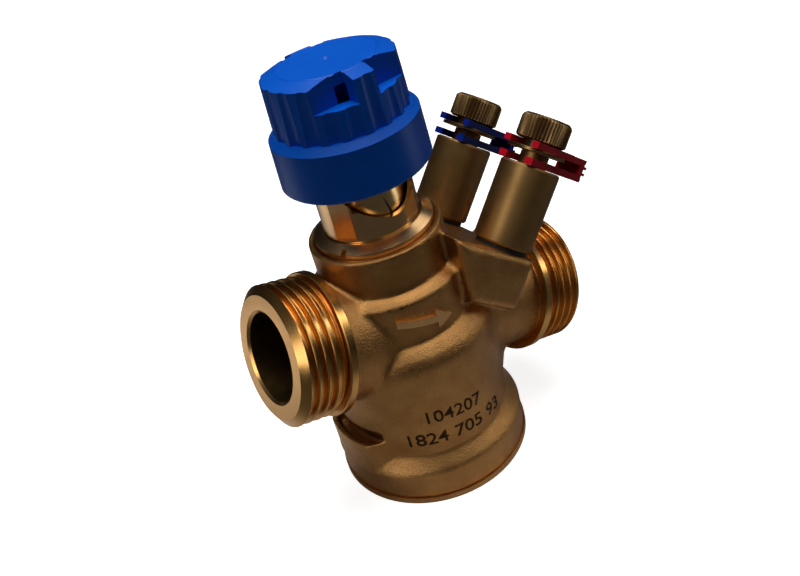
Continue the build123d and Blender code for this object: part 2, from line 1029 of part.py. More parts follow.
# Blue cap
with BuildPart() as cap:
    cap_bore_r = head_r + running_fit
    cap_under = cap_top - cap_roof
    revolve(
        turned(
            [
                (cap_bore_r, cap_foot),
                (cap_skirt_r - cap_foot_edge, cap_foot),
                (cap_skirt_r, cap_foot + cap_foot_edge),
                (cap_skirt_top_r, cap_shoulder),
                (cap_knob_r + cap_knob_step, cap_knob_foot),
                (cap_knob_r, cap_knob_foot),
                (cap_knob_top_r, cap_knob_top),
                (cap_disc_r, cap_top),
                (cap_disc_r - cap_groove_w, cap_top - cap_groove_depth),
                (cap_disc_r - 2 * cap_groove_w, cap_top),
                (cap_dimple_r, cap_top),
                (0, cap_top - cap_dimple_depth),
                (0, cap_under),
                (pad_r + running_fit, cap_under),
                (pad_r + running_fit, post_foot),
                (post_r, post_foot),
                (post_r, cap_under),
                (cap_hollow_r, cap_under),
                (cap_hollow_r, cap_ceiling),
                (cap_bore_r, cap_ceiling),
            ]
        ),
        axis=Axis.Z,
    )
    with BuildSketch(Plane.XY.offset(cap_knob_foot)):
        with PolarLocations(cap_knob_r + flute_r - flute_depth, cap_flutes):
            Circle(flute_r)
    extrude(amount=cap_top - cap_knob_foot, mode=Mode.SUBTRACT)
    # Two flat-backed pockets, each parted by a rib left standing
    for turn in (0, 180):
        pocket_plane = Plane(
            origin=(0, 0, pocket_foot),
            x_dir=on_stem(1, pocket_angle + turn, 0),
            z_dir=(0, 0, 1),
        )
        with BuildSketch(pocket_plane):
            for hand in (-1, 1):
                with Locations((pocket_wall + cap_skirt_r / 2, hand * (pocket_rib + pocket_half) / 2)):
                    Rectangle(cap_skirt_r, pocket_half - pocket_rib)
        extrude(amount=cap_top - pocket_foot, mode=Mode.SUBTRACT)
finish(cap.part, "cap")

with BuildPart() as cap_pad:
    pad_foot = stem_top + pad_stem_gap
    with BuildSketch(Plane.XY.offset(pad_foot)):
        Circle(pad_r)
    extrude(amount=pad_thick)
    chamfer(cap_pad.edges(), pad_edge)
finish(cap_pad.part, "cap_pad")

# Test plugs, knurled caps, seals and straps
for side, name in ((-1, "front"), (1, "rear")):
    section = plug_section(side)
    axis = plug_axis(side)
    with BuildPart() as plug_body:
        revolve(
            turned(
                [
                    (plug_bore_r, -plug_undercut - plug_shank),
                    (plug_shank_r, -plug_undercut - plug_shank),
                    (plug_shank_r, 0),
                    (plug_r - plug_edge, 0),
                    (plug_r, plug_edge),
                    (plug_r, plug_length - plug_edge),
                    (plug_r - plug_edge, plug_length),
                    (plug_neck_r, plug_length),
                    (plug_neck_r, plug_neck_top),
                    (plug_spigot_r, plug_neck_top),
                    (plug_spigot_r, plug_spigot_top),
                    (plug_bore_r, plug_spigot_top),
                    (plug_bore_r, seal_foot + seal_length),
                    (seal_r, seal_foot + seal_length),
                    (seal_r, seal_foot),
                    (plug_bore_r, seal_foot),
                ],
                section,
            ),
            axis=axis,
        )
    finish(plug_body.part, "plug_body_" + name)

    with BuildPart() as plug_seal:
        with BuildSketch(plug_plane(side, seal_foot)):
            Circle(seal_r)
        extrude(amount=seal_length)
    finish(plug_seal.part, "plug_seal_" + name)

    with BuildPart() as plug_washer:
        with BuildSketch(plug_plane(side, -plug_undercut)):
            Circle(washer_r)
            Circle(plug_shank_r, mode=Mode.SUBTRACT)
        extrude(amount=plug_undercut)
    finish(plug_washer.part, "plug_washer_" + name)

    with BuildPart() as plug_cap:
        cap_inner_r = plug_spigot_r + running_fit
        knob_top = knob_foot + knob_length
        revolve(
            turned(
                [
                    (cap_inner_r, flange_foot),
                    (flange_disc_r, flange_foot),
                    (flange_disc_r, flange_foot + flange_disc),
                    (cap_neck_r, flange_foot + flange_disc),
                    (cap_neck_r, knob_foot),
                    (knob_r - knob_edge, knob_foot),
                    (knob_r, knob_foot + knob_edge),
                    (knob_r, knob_top - knob_edge),
                    (knob_r - knob_edge, knob_top),
                    (0, knob_top),
                    (0, knob_bore_top),
                    (cap_inner_r, knob_bore_top),
                ],
                section,
            ),
            axis=axis,
        )
        with BuildSketch(plug_plane(side, knob_foot)):
            with PolarLocations(knob_r + knurl_depth, knurls):
                RegularPolygon(2 * knurl_depth, 4)
        extrude(amount=knob_length, mode=Mode.SUBTRACT)
    finish(plug_cap.part, "plug_cap_" + name)

    with BuildPart() as cap_gasket:
        with BuildSketch(plug_plane(side, plug_spigot_top + gasket_gap)):
            Circle(plug_spigot_r)
        extrude(amount=gasket_thick)
    finish(cap_gasket.part, "cap_gasket_" + name)

    with BuildPart() as strap:
        for level, slot_r in ((strap_low, plug_neck_r), (strap_high, cap_neck_r)):
            with BuildSketch(plug_plane(side, level)):
                with Locations(((strap_shoulder - strap_tip) / 2, 0)):
                    RectangleRounded(strap_shoulder + strap_tip, 2 * strap_half, strap_edge)
                with Locations(((strap_shoulder + strap_end) / 2 - strap_edge, 0)):
                    Rectangle(strap_end - strap_shoulder + 2 * strap_edge, 2 * strap_tongue)
                Circle(slot_r + seat_gap, mode=Mode.SUBTRACT)
                with Locations((-strap_tip, 0)):
                    Rectangle(2 * strap_tip, 2 * slot_r * strap_grip, mode=Mode.SUBTRACT)
            extrude(amount=strap_thick)
        loop_outer = (strap_high + strap_thick - strap_low) / 2
        loop_mid = strap_low + loop_outer
        with BuildSketch(plug_section(side)):
            with Locations((strap_end - strap_edge, loop_mid)):
                Circle(loop_outer)
                Circle(loop_outer - strap_thick, mode=Mode.SUBTRACT)
            with Locations((strap_end - strap_edge - loop_outer, loop_mid)):
                Rectangle(2 * loop_outer, 2 * loop_outer, mode=Mode.SUBTRACT)
        extrude(amount=strap_tongue, both=True)
    finish(strap.part, "strap_" + name)
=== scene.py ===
import json
import math

import bpy
import numpy as np
from mathutils import Matrix, Vector


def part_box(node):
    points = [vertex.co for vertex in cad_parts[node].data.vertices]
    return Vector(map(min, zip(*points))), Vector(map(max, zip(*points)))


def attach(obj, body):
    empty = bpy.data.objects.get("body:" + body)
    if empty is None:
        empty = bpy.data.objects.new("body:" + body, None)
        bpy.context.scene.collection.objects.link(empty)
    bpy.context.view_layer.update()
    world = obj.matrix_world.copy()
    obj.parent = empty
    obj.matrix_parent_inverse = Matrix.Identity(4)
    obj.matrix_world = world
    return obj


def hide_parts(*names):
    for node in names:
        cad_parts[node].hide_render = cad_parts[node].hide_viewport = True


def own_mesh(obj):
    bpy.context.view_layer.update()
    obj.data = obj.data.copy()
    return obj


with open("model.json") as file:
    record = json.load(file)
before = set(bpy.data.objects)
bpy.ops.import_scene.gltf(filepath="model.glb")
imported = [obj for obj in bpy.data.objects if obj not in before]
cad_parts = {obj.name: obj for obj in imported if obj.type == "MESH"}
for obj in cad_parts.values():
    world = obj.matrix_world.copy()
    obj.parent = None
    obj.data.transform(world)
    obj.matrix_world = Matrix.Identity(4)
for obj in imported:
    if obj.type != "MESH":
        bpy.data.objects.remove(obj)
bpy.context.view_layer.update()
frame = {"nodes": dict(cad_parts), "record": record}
nodes = frame["nodes"]
MM = 0.001

# Lean of the pipe axis and of the test plugs, and the turn that lays turning marks along the pipe
FLOW_TILT = math.radians(16.3)
PLUG_LEAN = math.radians(40.2)
PIPE_TURN = math.radians(90) + FLOW_TILT

# Ports, in millimetres, along the pipe axis from where it crosses the stem axis
FLOW_HEIGHT = 39.2
INLET_REACH = 36.0
OUTLET_REACH = 45.5
THREAD_LENGTH = 11.1
THREAD_PITCH = 2.309
THREAD_ROOT = 15.15
THREAD_CREST = 16.6
THREAD_STEP = 0.06
RIDGE_PEAK = 1.12
RIDGE_SLOPE = 3.7
LEAD_IN = 0.5
RUNOUT = 1.4
PORT_COLUMNS = 240
PORT_CHAMFER = 1.5
FACE_R = 14.55
BORE_R = 10.5
BORE_EDGE = 0.6
RING_R = 17.2
RING_WIDTH = 2.1
RING_EDGE = 0.25
NECK_R = 15.0
NECK_OVERLAP = 0.3
NECK_SINK = 1.2
NECK_TAPER = 0.3
INLET_NECK_EXTRA = 0.2

# Turned trunk of the forging, an outline of (radius, height) in millimetres, closed behind the axis
BEHIND_AXIS = -1
BASE_FOOT = 1.5
FLANGE_R = 24.2
FLANGE_TOP = 8.5
BARREL_R = 21.2
BARREL_FOOT = 13.0
BARREL_TOP_R = 21.75
BARREL_TOP = 37.4
PANEL_R = 18.1
PANEL_FOOT = 43.2
PANEL_TOP = 54.2
COLLAR_R = 15.65
COLLAR_FOOT = 55.9
COLLAR_TOP = 65.9
TRUNK = [
    (BEHIND_AXIS, BASE_FOOT), (FLANGE_R, BASE_FOOT), (FLANGE_R, FLANGE_TOP), (FLANGE_R - 0.4, 9.4),
    (BARREL_R + 0.4, 12.2), (BARREL_R, BARREL_FOOT), (BARREL_TOP_R, BARREL_TOP),
    (BARREL_TOP_R - 0.2, 38.9), (BARREL_TOP_R - 1.0, 40.6), (BARREL_TOP_R - 2.2, 42.0),
    (PANEL_R + 0.5, 42.9), (PANEL_R, PANEL_FOOT), (PANEL_R, PANEL_TOP), (16.75, 55.5),
    (COLLAR_R, COLLAR_FOOT), (COLLAR_R, COLLAR_TOP), (BEHIND_AXIS, COLLAR_TOP),
]

# Hollows: the stacked chambers, and how near to the stem axis each bore along the pipe comes
CHAMBERS = [
    (BEHIND_AXIS, 0), (18.6, 0), (18.6, 14.4), (16.8, 14.4), (16.8, 29.0), (7.5, 29.0), (7.5, 36.0),
    (12.4, 36.0), (12.4, 56.0), (13.0, 56.0), (13.0, 64.5), (14.0, 64.5), (14.0, 70.0),
    (BEHIND_AXIS, 70.0),
]
INLET_BORE_FOOT = 20.0
THROAT_R = 8.0
THROAT_FOOT = 6.2
OUTLET_BORE_R = 9.2
OUTLET_BORE_FOOT = 16.0
DROP_R = 7.0
DROP_DEPTH = 15.5

# Swelling under the outlet, round an axis square to the pipe
SWELLING_REACH = 19.6
SWELLING_FLAT_R = 6.5
SWELLING_DEPTH = 17.0
SWELLING_ROUND = 4.5

# Boss of the test plugs, an outline of (across, along) the plugs from their seat
PLUG_SEAT = (25.05, 51.45)
PLUG_SPREAD = 12.4
BOSS_HALF = 19.7
BOSS_ROUND = 1.8
BOSS = [(-20.4, -1), (5.6, -1), (5.6, -14.2), (-9, -14.2)]

# Lug on the flange, behind x = -LUG_BACK, and the pocket in it, both with slanted ends
LUG_BACK = 14
LUG_INNER_R = 18.8
LUG_FOOT = 8
LUG_TOP = 17.6
LUG_CORNER = (22.74, 8.28)
LUG_SLANT = (0.527, 0.85)
POCKET_RIM = 1.6
POCKET_INNER_R = 19.2
POCKET_FOOT = 14.9
POCKET_TOP = 19.5
POCKET_END = 1.3

# Fillets between the parts of the forging, and the grid it is made on
INLET_FILLET = 1.0
OUTLET_FILLET = 2.6
SWELLING_FILLET = 2.0
BOSS_FILLET = 1.8
LUG_FILLET = 0.8
GRID_LOW = (-27.5, -26.5, 0.2)
GRID_HIGH = (38.5, 26.5, 67.5)
GRID_STEP = 0.52

# Arrow on the panel: angles of its three marks, half widths and how it falls
ARROW_START = -121.0
ARROW_NECK = -92.0
ARROW_TIP = -79.0
ARROW_HEIGHT = 48.5
ARROW_FALL = math.tan(math.radians(14))
ARROW_SHAFT = 0.9
ARROW_HEAD = 2.45
ARROW_POINT = 0.02
ARROW_SINK = 0.3
ARROW_PROUD = 0.6
ARROW_COLUMNS = (14, 9)

# Rows of digits, and the taper of the wall that they follow
TAPER_FOOT = 12.6
TAPER_HEIGHT = 25.8
DIGIT_PROUD = 0.06
DIGIT_SINK = 0.3

# Caps of the test plugs along the plug's own axis, each point (height, radius, share of the knurl)
DISC_FOOT = 22.45
DISC_THICK = 0.8
DISC_R = 7.0
DISC_EDGE = 0.15
SPIGOT_BORE = 2.68
STALK_R = 3.9
KNOB_FOOT = 25.0
KNOB_TOP = 30.9
KNOB_R = 6.1
KNOB_FLOOR = 2.0
KNOB_CORE = 0.05
KNOB_PROFILE = [
    (KNOB_TOP - KNOB_FLOOR, KNOB_CORE, 0), (KNOB_TOP - KNOB_FLOOR, SPIGOT_BORE, 0),
    (DISC_FOOT, SPIGOT_BORE, 0), (DISC_FOOT, DISC_R - DISC_EDGE, 0), (DISC_FOOT + DISC_EDGE, DISC_R, 0),
    (DISC_FOOT + DISC_THICK - DISC_EDGE, DISC_R, 0), (DISC_FOOT + DISC_THICK, DISC_R - DISC_EDGE, 0),
    (DISC_FOOT + DISC_THICK, STALK_R, 0), (KNOB_FOOT, STALK_R, 0), (KNOB_FOOT, KNOB_R - 0.7, 0),
    (KNOB_FOOT + 0.35, KNOB_R - 0.1, 0.25), (KNOB_FOOT + 0.6, KNOB_R, 1), (KNOB_TOP - 1.0, KNOB_R, 1),
    (KNOB_TOP - 0.45, KNOB_R - 0.25, 0.5), (KNOB_TOP, KNOB_R - 0.9, 0), (KNOB_TOP, KNOB_CORE, 0),
]
KNURL_TEETH = 46
KNURL_WAVE = np.array([0.0, 0.5, 1.0, 0.5])
KNURL_DEPTH = 0.36
KNOB_CREASE = math.radians(28)

# Straps: leaves of (slot radius, foot, top), their outline, and ribs of (foot, how far they stand out)
LOW_LEAF = (3.4, 19.45, 21.05)
HIGH_LEAF = (3.9, 23.35, 24.9)
GRIP_SHARE = 0.92
SLOT_GAP = 0.15
SLOT_STEPS = 25
LEAF_BACK = -5.9
STRAP_HALF = 5.7
SHOULDER = 6.4
SHOULDER_STEP = 0.8
TONGUE_ROOT = 7.6
TONGUE_HALF = 3.9
STRAP_END = 12.0
FOLD_END = 13.3
FOLD_RIBS = [(19.6, 0.35), (21.15, 1.1), (22.7, 1.1), (24.1, 0.35)]
RIB_HEIGHT = 0.7
RIB_SINK = 0.2
RIB_SHARE = 0.96

# Springs: cross-sections in a turn, and corners of each
COIL_STEPS = 28
COIL_SIDES = 12

# Studio, in metres: aim of the lights, tones of the floor in the metal with a painted pool of light under
# the valve, painted bright patches of (centre, size, tone)
VALVE_MIDDLE = (0, 0, 0.055)
FLOOR_HALF = 3.0
FLOOR_GLOW = 0.85
FLOOR_PAINTED_LIGHT_POOL = [
    (0.03, (0.70, 0.685, 0.67)), (0.06, (0.48, 0.47, 0.46)), (0.08, (0.11, 0.108, 0.106)),
    (0.26, (0.07, 0.068, 0.066)), (0.6, (0.05, 0.05, 0.05)),
]
FLOOR_PAINTED_LIGHT_PATCHES = [((-0.105, 0.11, 0), 0.12, 1.0), ((0.20, -0.115, 0), 0.06, 0.8)]

# Camera of the photo: azimuth, height and roll in degrees, lengths in millimetres, clip in metres
CAMERA_ANGLES = (-27.14, 33.03, -15.95)
CAMERA_PLACE = (-80.294, -160.514, 164.174)
CAMERA_LENS = 40.212
CAMERA_SENSOR = 36
CAMERA_CLIP = 0.01


def new_material(name):
    """Material with its tree, its main shader and its texture coordinates."""
    mat = bpy.data.materials.new(name)
    mat.use_nodes = True
    tree = mat.node_tree
    tree.nodes.clear()
    out = tree.nodes.new("ShaderNodeOutputMaterial")
    shader = tree.nodes.new("ShaderNodeBsdfPrincipled")
    tree.links.new(shader.outputs["BSDF"], out.inputs["Surface"])
    coords = tree.nodes.new("ShaderNodeTexCoord")
    return mat, tree, shader, coords


def noise(tree, vector, scale, detail=3.0):
    """Noise drawn over the given coordinates."""
    n = tree.nodes.new("ShaderNodeTexNoise")
    n.inputs["Scale"].default_value = scale
    n.inputs["Detail"].default_value = detail
    tree.links.new(vector, n.inputs["Vector"])
    return n.outputs["Fac"]


def ramp(tree, factor, stops):
    """Colour ramp with stops of (position, colour)."""
    r = tree.nodes.new("ShaderNodeValToRGB")
    r.color_ramp.elements[0].position = stops[0][0]
    r.color_ramp.elements[0].color = (*stops[0][1], 1)
    r.color_ramp.elements[1].position = stops[-1][0]
    r.color_ramp.elements[1].color = (*stops[-1][1], 1)
    for place, colour in stops[1:-1]:
        r.color_ramp.elements.new(place).color = (*colour, 1)
    tree.links.new(factor, r.inputs["Fac"])
    return r.outputs["Color"]


def grey(tone):
    """Colour with that value in all three channels."""
    return (tone, tone, tone)


def tint(tree, shader, factor, stops):
    """Base colour that wanders between the stops."""
    tree.links.new(ramp(tree, factor, stops), shader.inputs["Base Color"])


def wear(tree, shader, factor, smoother, rougher):
    """Roughness that wanders between two values."""
    stops = [(0.3, grey(smoother)), (0.7, grey(rougher))]
    tree.links.new(ramp(tree, factor, stops), shader.inputs["Roughness"])


def bump(tree, shader, height, strength, distance):
    """Bump on the shader's normal, its distance in metres."""
    b = tree.nodes.new("ShaderNodeBump")
    b.inputs["Strength"].default_value = strength
    b.inputs["Distance"].default_value = distance
    tree.links.new(height, b.inputs["Height"])
    tree.links.new(b.outputs["Normal"], shader.inputs["Normal"])


def stretched(tree, vector, turn, scale):
    """Coordinates in a turned frame, each axis divided by its scale."""
    m = tree.nodes.new("ShaderNodeMapping")
    m.vector_type = "TEXTURE"
    m.inputs["Rotation"].default_value = turn
    m.inputs["Scale"].default_value = scale
    tree.links.new(vector, m.inputs["Vector"])
    return m.outputs["Vector"]


def forged(name, dark, light, rough, grain=0.13):
    """Forged skin: blotched metal with a fine grain, whose depth is in millimetres."""
    mat, tree, shader, coords = new_material(name)
    shader.inputs["Metallic"].default_value = 1.0
    place = coords.outputs["Object"]
    tint(tree, shader, noise(tree, place, scale=160, detail=4), [(0.35, dark), (0.65, light)])
    wear(tree, shader, noise(tree, place, scale=900), rough - 0.06, rough + 0.06)
    bump(tree, shader, noise(tree, place, scale=3600, detail=2), 1.0, grain * MM)
    return mat


def turned(name, dark, light, rough, turn=(0, 0, 0), marks_depth=0.006):
    """Turned metal: fine marks round the local z axis, which turn lays along another one."""
    mat, tree, shader, coords = new_material(name)
    shader.inputs["Metallic"].default_value = 1.0
    place = coords.outputs["Object"]
    marks = noise(tree, stretched(tree, place, turn, (40, 40, 1)), scale=2600, detail=2)
    tint(tree, shader, noise(tree, place, scale=120, detail=3), [(0.3, dark), (0.7, light)])
    wear(tree, shader, marks, rough - 0.02, rough + 0.03)
    bump(tree, shader, marks, 0.5, marks_depth * MM)
    return mat


def plastic(name, dark, light, rough, shine=0.3):
    """Moulded plastic or rubber with a faint grain."""
    mat, tree, shader, coords = new_material(name)
    place = coords.outputs["Object"]
    tint(tree, shader, noise(tree, place, scale=90, detail=3), [(0.3, dark), (0.7, light)])
    shader.inputs["Roughness"].default_value = rough
    shader.inputs["Specular IOR Level"].default_value = shine
    bump(tree, shader, noise(tree, place, scale=2600, detail=2), 0.18, 0.03 * MM)
    return mat


def outline_distance(points, u, v):
    """Signed distance to a closed outline, negative inside."""
    nearest = np.full(u.shape, 1e9, np.float32)
    sign = np.ones(u.shape, np.float32)
    for (u0, v0), (u1, v1) in zip(points, points[-1:] + points[:-1]):
        eu, ev = u1 - u0, v1 - v0
        wu, wv = u - u0, v - v0
        along = np.clip((wu * eu + wv * ev) / (eu * eu + ev * ev), 0, 1)
        nearest = np.minimum(nearest, (wu - eu * along) ** 2 + (wv - ev * along) ** 2)
        above, below, left = v >= v0, v < v1, eu * wv > ev * wu
        crossed = (above & below & left) | ~(above | below | left)
        sign = np.where(crossed, -sign, sign)
    return sign * np.sqrt(nearest)


def both(*fields):
    """Field of what all the given fields share."""
    return np.maximum.reduce(fields)


def blend(a, b, size):
    """Union of two fields with a fillet of about that size."""
    near = np.maximum(size - np.abs(a - b), 0) / size
    return np.minimum(a, b) - near * near * size / 4


def cut(a, b, size):
    """Field a with b taken out, its edge rounded."""
    return -blend(-a, b, size)


def skin(field, low, step):
    """Closed mesh of a field's zero surface: one point in each cell that the surface crosses."""
    inside = field < 0
    cells_shape = tuple(n - 1 for n in field.shape)
    filled = np.zeros(cells_shape, np.int8)
    starts = [(i, j, k) for i in (0, 1) for j in (0, 1) for k in (0, 1)]
    for i, j, k in starts:
        filled += inside[i:i + cells_shape[0], j:j + cells_shape[1], k:k + cells_shape[2]]
    crossed_cells = (filled > 0) & (filled < 8)
    cells = np.argwhere(crossed_cells)
    total = np.zeros((len(cells), 3))
    hits = np.zeros((len(cells), 1))
    for start in starts:
        for axis in range(3):
            if start[axis]:
                continue
            a = cells + start
            b = a + np.eye(3, dtype=int)[axis]
            fa, fb = field[tuple(a.T)], field[tuple(b.T)]
            hit = ((fa < 0) != (fb < 0))[:, None]
            share = np.where(hit[:, 0], fa / np.where(fa == fb, 1, fa - fb), 0)[:, None]
            total += np.where(hit, np.array(start) + share * np.eye(3)[axis], 0)
            hits += hit
    points = low + step * (cells + total / hits)
    index = np.full(cells_shape, -1)
    index[crossed_cells] = np.arange(len(cells))
    quads = []
    for axis in range(3):
        u, v = np.eye(3, dtype=int)[(axis + 1) % 3], np.eye(3, dtype=int)[(axis + 2) % 3]
        first = np.take(inside, range(field.shape[axis] - 1), axis)
        second = np.take(inside, range(1, field.shape[axis]), axis)
        edges = np.argwhere(first != second)
        ring = [index[tuple((edges - shift).T)] for shift in (0 * u, u, u + v, v)]
        quad = np.stack(ring, 1)
        outward = first[tuple(edges.T)]
        quads.append(np.where(outward[:, None], quad, quad[:, ::-1]))
    return points, np.concatenate(quads)


def add_mesh(name, points, faces, material, smooth=True, rides="valve"):
    """Piece from points in millimetres, riding on a body of the frame."""
    mesh = bpy.data.meshes.new(name)
    corners = [tuple(p) for p in np.asarray(points) * MM]
    mesh.from_pydata(corners, [], [tuple(int(i) for i in f) for f in faces])
    mesh.update()
    for face in mesh.polygons:
        face.use_smooth = smooth
    mesh.materials.append(material)
    obj = bpy.data.objects.new(name, mesh)
    bpy.context.scene.collection.objects.link(obj)
    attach(obj, rides)
    return obj


def band(first, second, count):
    """Quads between two rings of points, each ring given by the index of its first point."""
    quads = []
    for k in range(count):
        m = (k + 1) % count
        quads.append((first + k, first + m, second + m, second + k))
    return quads


def neck_field(from_flow, along, reach, sense, extra=0.0):
    """Port neck from the stem axis to just inside the port's ring."""
    ring_foot = reach - THREAD_LENGTH - RING_WIDTH
    return both(from_flow - NECK_R - extra, sense * along - ring_foot - NECK_OVERLAP, -sense * along)


def swelling_field(from_swelling, across):
    """Round swelling under the pipe axis, its foot rounded."""
    out = np.maximum(from_swelling - SWELLING_FLAT_R, 0)
    down = np.maximum(-across - SWELLING_DEPTH, 0)
    return both(np.hypot(out, down) - SWELLING_ROUND, across)


def boss_field(x, y, z):
    """Boss of the test plugs: its outline drawn across both plugs, edges rounded."""
    dx, dz = x - PLUG_SEAT[0], z - PLUG_SEAT[1]
    across = dx * math.cos(PLUG_LEAN) - dz * math.sin(PLUG_LEAN)
    along = dx * math.sin(PLUG_LEAN) + dz * math.cos(PLUG_LEAN)
    side = outline_distance(BOSS, across, along) + BOSS_ROUND
    width = np.abs(y) - BOSS_HALF + BOSS_ROUND
    inner = np.minimum(both(side, width), 0)
    return inner + np.hypot(np.maximum(side, 0), np.maximum(width, 0)) - BOSS_ROUND


def lug_fields(x, y, z, radius):
    """Lug on the flange, and the pocket to take out of it."""
    end = (-x - LUG_CORNER[0]) * LUG_SLANT[0] + (np.abs(y) - LUG_CORNER[1]) * LUG_SLANT[1]
    back = x + LUG_BACK
    lug = both(radius - FLANGE_R, LUG_INNER_R - radius, z - LUG_TOP, LUG_FOOT - z, end, back)
    pocket = both(
        radius - FLANGE_R + POCKET_RIM, POCKET_INNER_R - radius,
        POCKET_FOOT - z, z - POCKET_TOP, end + POCKET_END, back,
    )
    return lug, pocket


def forging():
    """The forged body as a blend of its turned trunk, port necks, swelling, boss and lug."""
    low, high = np.array(GRID_LOW), np.array(GRID_HIGH)
    axes = [np.arange(low[i], high[i], GRID_STEP, dtype=np.float32) for i in range(3)]
    x, y, z = np.meshgrid(*axes, indexing="ij")
    radius = np.hypot(x, y)
    along = x * math.cos(FLOW_TILT) - (z - FLOW_HEIGHT) * math.sin(FLOW_TILT)
    across = x * math.sin(FLOW_TILT) + (z - FLOW_HEIGHT) * math.cos(FLOW_TILT)
    from_flow = np.hypot(across, y)
    from_swelling = np.hypot(along - SWELLING_REACH, y)
    body = outline_distance(TRUNK, radius, z)
    body = blend(body, neck_field(from_flow, along, INLET_REACH, -1, INLET_NECK_EXTRA), INLET_FILLET)
    body = blend(body, neck_field(from_flow, along, OUTLET_REACH, 1), OUTLET_FILLET)
    body = blend(body, swelling_field(from_swelling, across), SWELLING_FILLET)
    body = blend(body, boss_field(x, y, z), BOSS_FILLET)
    lug, pocket = lug_fields(x, y, z, radius)
    body = cut(blend(body, lug, LUG_FILLET), pocket, LUG_FILLET)
    hollows = [
        outline_distance(CHAMBERS, radius, z),
        both(from_flow - BORE_R, INLET_BORE_FOOT + along),
        both(from_flow - THROAT_R, along + THROAT_FOOT),
        both(from_flow - OUTLET_BORE_R, OUTLET_BORE_FOOT - along),
        both(from_swelling - DROP_R, across, -across - DROP_DEPTH),
    ]
    for hollow in hollows:
        body = both(body, -hollow)
    points, faces = skin(body, low, GRID_STEP)
    obj = add_mesh("forged_body", points, faces, materials["forged_brass"])
    soften = obj.modifiers.new("soften", "SMOOTH")
    soften.factor = 0.5
    soften.iterations = 2
    return obj


def thread_radius(along, angle, sense, start, end):
    """Radius of the helical thread round the port, running in at its start and out at its end."""
    phase = (along / THREAD_PITCH - sense * angle / (2 * np.pi)) % 1.0
    wave = np.clip(RIDGE_PEAK - RIDGE_SLOPE * np.abs(phase - 0.5), 0, 1)
    wave = wave * wave * (3 - 2 * wave)
    lead_in = max(0.0, 1 - (start - along) / LEAD_IN)
    runout = min(1.0, (along - end) / RUNOUT)
    return THREAD_ROOT + (THREAD_CREST - THREAD_ROOT) * np.maximum(wave * runout, lead_in)


def port(name, reach, sense):
    """Bore, face, helical thread and ring of one port, turned about the pipe axis."""
    thread_start = reach - PORT_CHAMFER
    thread_end = reach - THREAD_LENGTH
    ring_end = thread_end - RING_WIDTH
    front = [
        (ring_end - NECK_SINK, BORE_R), (reach - BORE_EDGE, BORE_R), (reach, BORE_R + BORE_EDGE),
        (reach, FACE_R), (thread_start, THREAD_CREST),
    ]
    thread = [(along, None) for along in np.arange(thread_start, thread_end, -THREAD_STEP)]
    thread.append((thread_end, THREAD_ROOT))
    back = [
        (thread_end, THREAD_ROOT), (thread_end, RING_R - RING_EDGE), (thread_end - RING_EDGE, RING_R),
        (ring_end + RING_EDGE, RING_R), (ring_end, RING_R - RING_EDGE), (ring_end, NECK_R),
        (ring_end - NECK_SINK, NECK_R - NECK_TAPER),
    ]
    # Runs of (along, radius), parted by sharp edges, where None stands for the thread's own radius
    runs = [*zip(front, front[1:]), thread, *zip(back, back[1:])]
    angle = np.linspace(0, 2 * np.pi, PORT_COLUMNS, endpoint=False)
    points, faces = [], []
    for run in runs:
        for place, (along, radius) in enumerate(run):
            if radius is None:
                r = thread_radius(along, angle, sense, thread_start, thread_end)
            else:
                r = np.full(PORT_COLUMNS, radius)
            a = sense * along
            px = a * math.cos(FLOW_TILT) + r * np.sin(angle) * math.sin(FLOW_TILT)
            pz = FLOW_HEIGHT - a * math.sin(FLOW_TILT) + r * np.sin(angle) * math.cos(FLOW_TILT)
            if place:
                quads = band((len(points) - 1) * PORT_COLUMNS, len(points) * PORT_COLUMNS, PORT_COLUMNS)
                faces += quads if sense < 0 else [quad[::-1] for quad in quads]
            points.append(np.stack([px, r * np.cos(angle), pz], 1))
    obj = add_mesh(name, np.concatenate(points), faces, materials["port_brass"])
    # The bore gets a dark brass that is painted shade inside the port
    obj.data.materials.append(materials["bore_painted_shade"])
    for face in obj.data.polygons[:PORT_COLUMNS]:
        face.material_index = 1


def flow_arrow():
    """Raised arrow that wraps the panel and falls towards its tip."""
    middle = (ARROW_START + ARROW_TIP) / 2
    columns = [(a, ARROW_SHAFT) for a in np.linspace(ARROW_START, ARROW_NECK, ARROW_COLUMNS[0])]
    for t in np.linspace(0, 1, ARROW_COLUMNS[1]):
        columns.append((ARROW_NECK + (ARROW_TIP - ARROW_NECK) * t, ARROW_HEAD * (1 - t) + ARROW_POINT * t))
    points, faces = [], []
    for a, half in columns:
        fall = ARROW_FALL * PANEL_R * math.radians(a - middle)
        c, s = math.cos(math.radians(a)), math.sin(math.radians(a))
        for r in (PANEL_R - ARROW_SINK, PANEL_R + ARROW_PROUD):
            for up in (-half, half):
                points.append((r * c, r * s, ARROW_HEIGHT - fall + up))
    last = 4 * (len(columns) - 1)
    for a in range(0, last, 4):
        b = a + 4
        faces += [(a + 2, b + 2, b + 3, a + 3), (a + 3, b + 3, b + 1, a + 1)]
        faces += [(a, b, b + 2, a + 2), (a + 1, b + 1, b, a)]
    faces += [(0, 2, 3, 1), (last, last + 1, last + 3, last + 2)]
    add_mesh("flow_arrow", points, faces, materials["arrow_brass"], smooth=False)


def plug_frame(side):
    """Function from a plug's own points to the scene's: x across the plug, y along Y, z along the plug."""
    across = (math.cos(PLUG_LEAN), 0, -math.sin(PLUG_LEAN))
    along = (math.sin(PLUG_LEAN), 0, math.cos(PLUG_LEAN))
    frame_axes = np.array([across, (0, 1, 0), along])
    origin = np.array([PLUG_SEAT[0], side * PLUG_SPREAD, PLUG_SEAT[1]])
    return lambda local: np.asarray(local) @ frame_axes + origin


